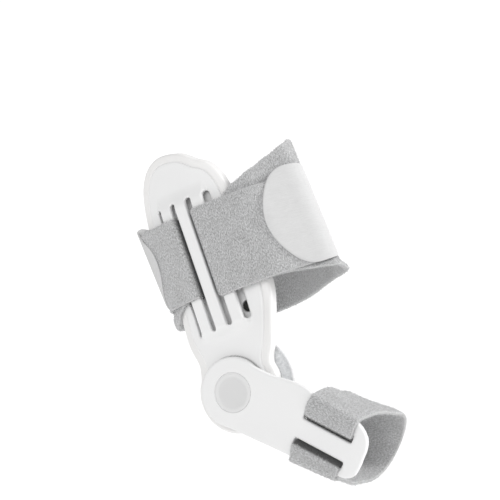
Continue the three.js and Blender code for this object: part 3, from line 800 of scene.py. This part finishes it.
def napTree(material):
    tree = bpy.data.node_groups.new("brushedFibres", "GeometryNodeTree")
    face = tree.interface
    face.new_socket("Geometry", in_out="INPUT", socket_type="NodeSocketGeometry")
    for title in ("Density", "Length", "Radius", "Tilt", "Seed"):
        kind = "NodeSocketInt" if title == "Seed" else "NodeSocketFloat"
        socket = face.new_socket(title, in_out="INPUT", socket_type=kind)
        socket.default_value = nap[title.lower()]
    face.new_socket("Geometry", in_out="OUTPUT", socket_type="NodeSocketGeometry")
    add, join = tree.nodes.new, tree.links.new
    inside, outside = add("NodeGroupInput"), add("NodeGroupOutput")
    pile = add("GeometryNodeInputNamedAttribute")
    pile.data_type = "FLOAT"
    pile.inputs["Name"].default_value = "pile"
    amount = mathNode(tree, "MULTIPLY", inside.outputs["Density"], pile.outputs["Attribute"])
    spread = add("GeometryNodeDistributePointsOnFaces")
    join(inside.outputs["Geometry"], spread.inputs["Mesh"])
    join(amount, spread.inputs["Density"])
    join(inside.outputs["Seed"], spread.inputs["Seed"])
    fibre = add("GeometryNodeMeshCone")
    fibre.fill_type = "NGON"
    setInputs(fibre, {"Vertices": 3, "Radius Top": 0})
    join(inside.outputs["Radius"], fibre.inputs["Radius Bottom"])
    join(inside.outputs["Length"], fibre.inputs["Depth"])
    swing = add("FunctionNodeRandomValue")
    swing.data_type = "FLOAT_VECTOR"
    low, high = add("ShaderNodeCombineXYZ"), add("ShaderNodeCombineXYZ")
    backwards = mathNode(tree, "MULTIPLY", inside.outputs["Tilt"], -1)
    for k in (0, 1):
        join(backwards, low.inputs[k])
        join(inside.outputs["Tilt"], high.inputs[k])
    high.inputs[2].default_value = 2 * math.pi
    join(low.outputs[0], swing.inputs[0])
    join(high.outputs[0], swing.inputs[1])
    join(inside.outputs["Seed"], swing.inputs["Seed"])
    toTurn = add("FunctionNodeEulerToRotation")
    join(swing.outputs[0], toTurn.inputs[0])
    turn = add("FunctionNodeRotateRotation")
    turn.rotation_space = "LOCAL"
    join(spread.outputs["Rotation"], turn.inputs[0])
    join(toTurn.outputs[0], turn.inputs[1])
    size = add("FunctionNodeRandomValue")
    size.inputs[2].default_value, size.inputs[3].default_value = nap["sizes"]
    join(inside.outputs["Seed"], size.inputs["Seed"])
    plant = add("GeometryNodeInstanceOnPoints")
    join(spread.outputs["Points"], plant.inputs["Points"])
    join(fibre.outputs["Mesh"], plant.inputs["Instance"])
    join(turn.outputs[0], plant.inputs["Rotation"])
    join(size.outputs[1], plant.inputs["Scale"])
    real = add("GeometryNodeRealizeInstances")
    join(plant.outputs["Instances"], real.inputs[0])
    dress = add("GeometryNodeSetMaterial")
    dress.inputs["Material"].default_value = material
    join(real.outputs[0], dress.inputs["Geometry"])
    join(dress.outputs[0], outside.inputs[0])
    return tree


def inputName(tree, title):
    sockets = tree.interface.items_tree
    return next(i.identifier for i in sockets if i.name == title and i.in_out == "INPUT")


def napOn(strapPiece, name, tree, seed):
    modifier = strapPiece.modifiers.new("fibres", "NODES")
    modifier.node_group = tree
    modifier[inputName(tree, "Density")] = nap["density"] * 1
    modifier[inputName(tree, "Seed")] = seed
    ready = strapPiece.evaluated_get(bpy.context.evaluated_depsgraph_get())
    mesh = bpy.data.meshes.new_from_object(ready)
    strapPiece.modifiers.remove(modifier)
    mesh.name = name
    print(name, len(mesh.polygons), "faces")
    return addObject(name, mesh)


def fibreMaterial(name, dark, light):
    material, tree, shader = newMaterial(name)
    tone = noise(tree, coordinates(tree), 1400, 1, 0.5)
    spread = mathNode(tree, "MULTIPLY_ADD", tone, 3.0, -1.0, clamp=True)
    tree.links.new(mixColor(tree, spread, dark, light), shader.inputs["Base Color"])
    setInputs(shader, {"Roughness": 0.8, "Specular IOR Level": 0.2})
    return material


# Midfoot strap. A ramp is a pair of offsets, from where an effect sets in to where it is full
strap = {
    "thickness": 1.9, "pinched": 1.5, "width": 35.2, "loopHeight": 62, "loopBreadth": 70,
    "gap": 0.08, "railGap": 0.05, "step": 0.9,
    "instepReach": 0.56, "instepMargin": 3.1, "soleReach": 0.492, "soleMargin": 3.25,
    "rails": (0.15, 0.55, 0.97),  # points over the plate's rail, as shares of the way over it
    "overlap": 33, "foldThick": (0.5, 0.9), "foldTaper": 0.35,
    "foldRight": (-0.41, 0.59), "foldLeft": (-0.335, 0.565),
    # darkening gives where the painted shade in the slots sets in and where it fades out, along the points
    "narrowing": (1, 6), "darkening": ((2, 6), (0, 3)),  # along the points in the slots
    "lean": 0.055, "leanRamp": (6, 12), "soleLean": 0.06, "soleLeanRamp": (3, 3),
    "flare": 2.6, "flareRamp": (5, 13), "flareFrom": 36, "flareRun": 5,
    "tuck": 2.3, "tuckRamp": (-2, 3), "tuckFrom": 38.5, "tuckRun": 4,
    "loop": [  # across as a share of the loop's height, deep as a share of its breadth
        (0.427, 0.08), (0.5, 0.137), (0.573, 0.194), (0.633, 0.241), (0.648, 0.264),
        (0.642, 0.319), (0.613, 0.397), (0.55, 0.49), (0.484, 0.583), (0.37, 0.71),
        (0.22, 0.855), (0.05, 0.965), (-0.125, 1), (-0.265, 0.945), (-0.345, 0.825),
        (-0.375, 0.65), (-0.382, 0.46), (-0.38, 0.28), (-0.374, 0.18), (-0.364, 0.11),
    ],
    "edges": [  # share of the way round, low and high edge as shares of the width
        (0, -0.39, 0.56), (0.045, -0.4, 0.7), (0.09, -0.42, 0.79), (0.13, -0.46, 0.87),
        (0.17, -0.5, 0.95), (0.21, -0.54, 1.01), (0.4, -0.5, 0.94), (0.6, -0.5, 0.8),
        (0.8, -0.52, 0.68), (0.93, -0.53, 0.62), (0.955, -0.51, 0.6), (0.98, -0.4, 0.57),
        (1, -0.345, 0.55),
    ],
}

railEdge = plate["outerSlot"] + 0.5 * plate["slotWidth"]
railLift = strap["gap"] + 0.5 * strap["thickness"]
pinchLift = strap["gap"] + 0.5 * strap["pinched"]
instepReach = strap["instepReach"] * plate["width"] + strap["instepMargin"]
soleReach = strap["soleReach"] * plate["width"] + strap["soleMargin"]


def crownAt(distance):
    return levels["plateFace"] - distance ** 2 / (2 * plate["crownRadius"])


def railPoints(side, reach):
    rows = []
    for share in strap["rails"]:
        distance = railEdge + share * (reach - railEdge)
        rows.append((plate["middle"] + side * distance, crownAt(distance) + railLift))
    return rows


loopRows = railPoints(1, instepReach)
for up, deep in strap["loop"]:
    height = levels["plateFace"] - deep * strap["loopBreadth"]
    loopRows.append((plate["middle"] + up * strap["loopHeight"], height))
loopRows += railPoints(-1, soleReach)[::-1]
loopPath = curveThrough(loopRows, 900)
loopRun = runAlong(loopPath)
loopLength = loopRun[-1]
loopTangent = np.gradient(loopPath, axis=0)
loopTangent /= np.linalg.norm(loopTangent, axis=1, keepdims=True)


def overLoop(distance, lift, fromEnd):
    at = loopLength - distance if fromEnd else distance
    point = [np.interp(at, loopRun, loopPath[:, k]) for k in (0, 1)]
    along = [np.interp(at, loopRun, loopTangent[:, k]) for k in (0, 1)]
    return point[0] - lift * along[1], point[1] + lift * along[0]


def edgesOf(shares):
    return tuple(slotMiddle + share * strap["width"] for share in shares)


def edgesAt(share):
    rows = np.array(strap["edges"])
    n = int(np.clip(np.searchsorted(rows[:, 0], share), 1, len(rows) - 1))
    part = ease(share, rows[n - 1, 0], rows[n, 0])
    straight = (share - rows[n - 1, 0]) / (rows[n, 0] - rows[n - 1, 0])
    return edgesOf(rows[n - 1, 1:] + (rows[n, 1:] - rows[n - 1, 1:]) * 0.5 * (part + straight))


def corner(a, b, lift, fromDegrees, toDegrees, steps):
    return [(a + x, b + z) for x, z in arc(lift, fromDegrees, toDegrees, steps)]


def threading(side):
    inner = plate["innerSlot"] + 0.5 * plate["slotWidth"]
    outer = plate["outerSlot"] - 0.5 * plate["slotWidth"]

    def top(distance):
        return crownAt(distance) + plate["barRise"]

    rounding = plate["edgeRound"]
    path = [(outer, top(outer) + pinchLift)]
    path += corner(inner + rounding, top(inner) - rounding, pinchLift + rounding, 90, 180, 6)
    path += corner(inner, top(inner) - plate["thickness"], pinchLift, 180, 270, 5)
    path += [(outer, top(outer) - plate["thickness"] - pinchLift)]
    path += corner(railEdge, crownAt(railEdge), pinchLift + strap["railGap"], 180, 95, 5)
    return [(plate["middle"] + side * d, h) for d, h in path]


def ramp(value, near, far, offsets):
    return ease(value, near + offsets[0], far + offsets[1])


def onPlate(a, b, edge):
    side = a - plate["middle"]
    lean = strap["soleLean"] * ramp(-side, railEdge, soleReach, strap["soleLeanRamp"])
    lean += strap["lean"] * ramp(side, railEdge, instepReach, strap["leanRamp"])
    flare = strap["flare"] * ramp(side, instepReach, instepReach, strap["flareRamp"])
    flare *= ease(strap["flareFrom"] - edge, 0, strap["flareRun"])
    tuck = strap["tuck"] * ramp(-side, soleReach, soleReach, strap["tuckRamp"])
    tuck *= ease(strap["tuckFrom"] - edge, 0, strap["tuckRun"])
    return np.stack([a + (slotEnd - edge) * lean + flare - tuck, edge, b], axis=1)


def foldedRows(side, edges):
    rows = []
    count = int(strap["overlap"] / strap["step"])
    thin, full = strap["foldThick"]
    for i in range(count + 1):
        share = i / count
        grown = float(ease(share, 0, strap["foldTaper"]))
        thick = strap["thickness"] * (thin + (full - thin) * grown)
        lift = 0.5 * strap["thickness"] + strap["gap"] + 0.5 * thick
        a, b = overLoop(strap["overlap"] * (1 - share), lift, side < 0)
        rows.append((a, b, *edgesOf(edges), thick, 0))
    return rows


def threadedRows(side, edges, ends):
    rows = []
    path = threading(side)
    low, high = edgesOf(edges)
    into, out = strap["darkening"]
    for i, (a, b) in enumerate(path):
        share = float(ease(i, *strap["narrowing"]))
        deep = float(ease(i, *into) * ease(len(path) - 1 - i, *out))
        lower, upper = low + (ends[0] - low) * share, high + (ends[1] - high) * share
        rows.append((a, b, lower, upper, strap["pinched"], deep))
    return rows


def loopStations():
    count = int(loopLength / strap["step"])
    rows = []
    for i in range(count + 1):
        share = i / count
        a, b = overLoop(share * loopLength, 0, False)
        rows.append((a, b, *edgesAt(share), strap["thickness"], 0))
    return rows


strapRows = foldedRows(1, strap["foldRight"]) + threadedRows(1, strap["foldRight"], edgesAt(0))
strapRows += loopStations()
strapRows += threadedRows(-1, strap["foldLeft"], edgesAt(1))[::-1] + foldedRows(-1, strap["foldLeft"])[::-1]

midfootStrap = ribbonMesh(
    "midfoot_band", np.array(strapRows), onPlate, footMatrix, closed=False, columns=30,
)
setMaterial(midfootStrap, strapCloth)
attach(midfootStrap, "foot_side")
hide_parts("midfoot_strap")
fibres = napTree(fibreMaterial("strapFibre", grey(0.42), (0.8, 0.803, 0.81, 1)))
midfootNap = napOn(midfootStrap, "midfoot_nap", fibres, nap["seed"])
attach(midfootNap, "foot_side")
print("midfoot band", len(midfootStrap.data.polygons), "faces")

# Hook tabs, each placed by its start on the strap's run and by its low and high edge
tab = {
    "thickness": 0.8, "length": 36, "nose": 14, "seat": -0.1, "steps": 48, "tip": 0.08,
    "offFold": (-4, 8), "instep": (14.5, -14.8, 24.8), "sole": (4.5, -10.5, 24.3),
}
foldThickness = strap["foldThick"][1] * strap["thickness"]


def hookTab(name, side, place, stands):
    rows = []
    start, low, high = place
    middle, height = slotMiddle + 0.5 * (low + high), high - low
    for i in range(tab["steps"] + 1):
        angle = math.pi * i / tab["steps"]
        reach = tab["nose"] if angle < math.pi / 2 else tab["length"] - tab["nose"]
        distance = start + tab["nose"] - reach * math.cos(angle)
        half = 0.5 * height * max(tab["tip"], math.sin(angle))
        overFold = 1 - float(ramp(distance, strap["overlap"], strap["overlap"], tab["offFold"]))
        lift = 0.5 * (strap["thickness"] + tab["thickness"]) + tab["seat"]
        lift += overFold * (foldThickness + strap["gap"])
        a, b = overLoop(distance, lift, side < 0)
        rows.append((a, b, middle - half, middle + half, tab["thickness"], 0))
    piece = ribbonMesh(name, np.array(rows), onPlate, footMatrix, closed=False, columns=24)
    setMaterial(piece, tabCloth)
    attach(piece, "foot_side")
    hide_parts(stands)


hookTab("instep_tab", 1, tab["instep"], "dorsal_tab")
hookTab("sole_tab", -1, tab["sole"], "plantar_tab")

# Toe strap, one closed band
band = {
    "thickness": 1.5, "upperThick": 1.5, "lowerThick": 1.35, "width": 21.3, "gap": 0.06,
    "height": 30, "breadth": 32, "upperRail": 0.5, "lowerRail": 0.442, "start": 0.3,
    "arch": 0.8,  # how far the band stands off the upper rail
    "rise": [(0, 1, 0.4), (0.5, 0, 1), (1, -0.8, 0.45)],  # share of the rail, plus mm, share of the arch
    "overEdge": (0.5, 0.35), "lowerBend": (165, 90, 3), "lowerStart": 1.5,
    # hidden gives each slot point's depth, which sets its painted shade
    "hidden": (1, 1, 1, 1, 1, 1, 0.8, 0.35, 0, 0),  # how deep each point in the slots lies
    "drift": 0.09, "farDrift": 0.13, "farthest": 20, "pinch": 1.3,
    "flare": 1.4, "flareRamps": ((3, 8), (-2, 4), (-18, -6)),  # across, below and back up
    "upperTaper": 0.04, "lowerTaper": 0.075, "taperRamp": (1, 0.4), "upperSide": (0, 8),
    "sink": 2.2, "sinkRamp": (6, 18), "saddle": 0.6, "saddleRamp": (-2, 8),
    "loop": [  # up as a share of the height, deep as a share of the breadth
        (0.47, 0.055), (0.497, 0.12), (0.525, 0.2), (0.545, 0.32), (0.553, 0.47), (0.55, 0.64),
        (0.537, 0.81), (0.495, 0.91), (0.4, 0.985), (0.26, 1.03), (0.08, 1.04), (-0.12, 1),
        (-0.28, 0.89), (-0.365, 0.72), (-0.395, 0.5), (-0.41, 0.28), (-0.418, 0.09),
    ],
}


def toeSlotPath(side, thick):
    foot, face = levels["toeFoot"], levels["toeFace"]
    lift = band["gap"] + 0.5 * thick
    inner = 0.5 * toe["bar"]
    rows = [(band["start"] * inner, foot - lift)]
    rows += corner(inner, foot, lift, -90, 0, 4)
    rows += corner(inner + toe["slotWidth"], face, lift, 180, 90, 5)
    return [(side * a, b) for a, b in rows[::side]][:len(band["hidden"])]


def toeSweep():
    face = levels["toeFace"]
    lift = band["gap"] + 0.5 * band["thickness"]
    slotOuter = 0.5 * toe["bar"] + toe["slotWidth"]
    top, beyond = band["upperRail"] * toe["width"], band["overEdge"]
    rails = []
    for share, more, rise in band["rise"]:
        along = slotOuter + share * (top - slotOuter) + more
        rails.append((along, face + lift + rise * band["arch"]))
    rails += [(top + beyond[0], face + beyond[1])]
    rails += [(u * band["height"], face - d * band["breadth"]) for u, d in band["loop"]]
    rails += corner(-band["lowerRail"] * toe["width"], face, lift, *band["lowerBend"])
    rails += [(-slotOuter - band["lowerStart"], face + lift)]
    return curveThrough(rails, 150)


def toeStation(a, b, thick, deep):
    slotOuter = 0.5 * toe["bar"] + toe["slotWidth"]
    below = levels["toeFoot"] - b
    drift = band["drift"] * max(0, below)
    pinch = float(ease(-a, slotOuter, band["lowerRail"] * toe["width"]))
    across, down, back = band["flareRamps"]
    flare = ease(-a, *across) * ease(below, *down) * ease(-below, *back)
    spread = band["farDrift"] * min(max(0, below), band["farthest"])
    spread += band["flare"] * float(flare)
    low, high = toeFirst + drift, toeFirst + band["width"] + drift
    return a, b, low + band["pinch"] * pinch, high + spread, thick, deep


def onToe(a, b, edge):
    slotOuter = 0.5 * toe["bar"] + toe["slotWidth"]
    below = levels["toeFoot"] - b
    taper = np.where(a > 0, band["upperTaper"], -band["lowerTaper"])
    near, far = band["taperRamp"]
    atRail = ease(np.abs(a), slotOuter + near, far * toe["width"])
    atRail = atRail * ease(b, 0, levels["toeFoot"] - 1)
    upper = ease(a, *band["upperSide"])
    share = np.clip((edge - toeFirst) / band["width"], 0, 1)
    sink = band["sink"] * ease(below, *band["sinkRamp"]) * (1 - share)
    sink += band["saddle"] * 4 * share * (1 - share) * ease(below, *band["saddleRamp"])
    return np.stack([edge, a - taper * (edge - toeFirst) * atRail - sink * upper, b], axis=1)


toeFirst = toe["slotStart"] + 0.5 * (toe["slotLength"] - band["width"])
toeStations = []
for path, thick, depths in (
    (toeSlotPath(1, band["upperThick"]), band["upperThick"], band["hidden"]),
    (toeSweep(), band["thickness"], None),
    (toeSlotPath(-1, band["lowerThick"]), band["lowerThick"], band["hidden"][::-1]),
):
    for i, (a, b) in enumerate(path):
        toeStations.append(toeStation(a, b, thick, depths[i] if depths else 0))

toeBand = ribbonMesh("toe_band", np.array(toeStations), onToe, toeMatrix, closed=True, columns=20)
setMaterial(toeBand, strapCloth)
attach(toeBand, "toe_side")
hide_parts("toe_strap")
toeNap = napOn(toeBand, "toe_nap", fibres, nap["seed"] + 1)
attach(toeNap, "toe_side")
print("straps and tabs ready")

# Floor, light and camera
stage = {
    "floor": -0.075, "floorSize": 6.0, "floorTone": 0.96, "floorGlow": 0.13, "world": 0.585,
    "target": (-0.0066, 0.01121, 0.05276), "distance": 1.2,
    "azimuth": 34.17, "elevation": 25.42, "lens": 230.7,
    "lamps": [  # name, place, size and power
        ("key", (1.05, 1.15, 0.95), 0.5, 21.5), ("fill", (0.3, -1.2, 1.2), 1.2, 10.5),
    ],
}


def stageSet():
    size, height = stage["floorSize"], stage["floor"]
    corners = [(x * size, y * size, height) for x, y in ((-1, -1), (1, -1), (1, 1), (-1, 1))]
    floor = makeMesh("floor", corners, [(0, 1, 2, 3)])
    material, tree, shader = newMaterial("paleFloor")
    setInputs(shader, {
        "Base Color": grey(stage["floorTone"]), "Roughness": 0.9,
        "Emission Color": grey(1), "Emission Strength": stage["floorGlow"],
    })
    setMaterial(floor, material)
    world = bpy.data.worlds.new("softStudio")
    bpy.context.scene.world = world
    world.use_nodes = True
    back = world.node_tree.nodes["Background"]
    setInputs(back, {"Color": (1, 1, 1, 1), "Strength": stage["world"]})
    bpy.context.scene.view_settings.view_transform = "Standard"
    for name, place, size, power in stage["lamps"]:
        light = bpy.data.lights.new(name, "AREA")
        light.size = size
        light.energy = power
        lamp = addObject(name, light)
        lamp.location = place
        aim = Vector(stage["target"]) - Vector(place)
        lamp.rotation_euler = aim.to_track_quat("-Z", "Y").to_euler()


def cameraSet():
    az, el = math.radians(stage["azimuth"]), math.radians(stage["elevation"])
    back = Vector((math.sin(az) * math.cos(el), -math.cos(az) * math.cos(el), math.sin(el)))
    target = Vector(stage["target"])
    data = bpy.data.cameras.new("camera")
    data.lens = stage["lens"]
    data.sensor_width = 36
    data.sensor_fit = "HORIZONTAL"
    data.clip_start, data.clip_end = 0.05, 20
    camera = addObject("camera", data)
    camera.location = target + back * stage["distance"]
    camera.rotation_euler = (-back).to_track_quat("-Z", "Y").to_euler()
    bpy.context.scene.camera = camera


stageSet()
cameraSet()
print("stage ready")
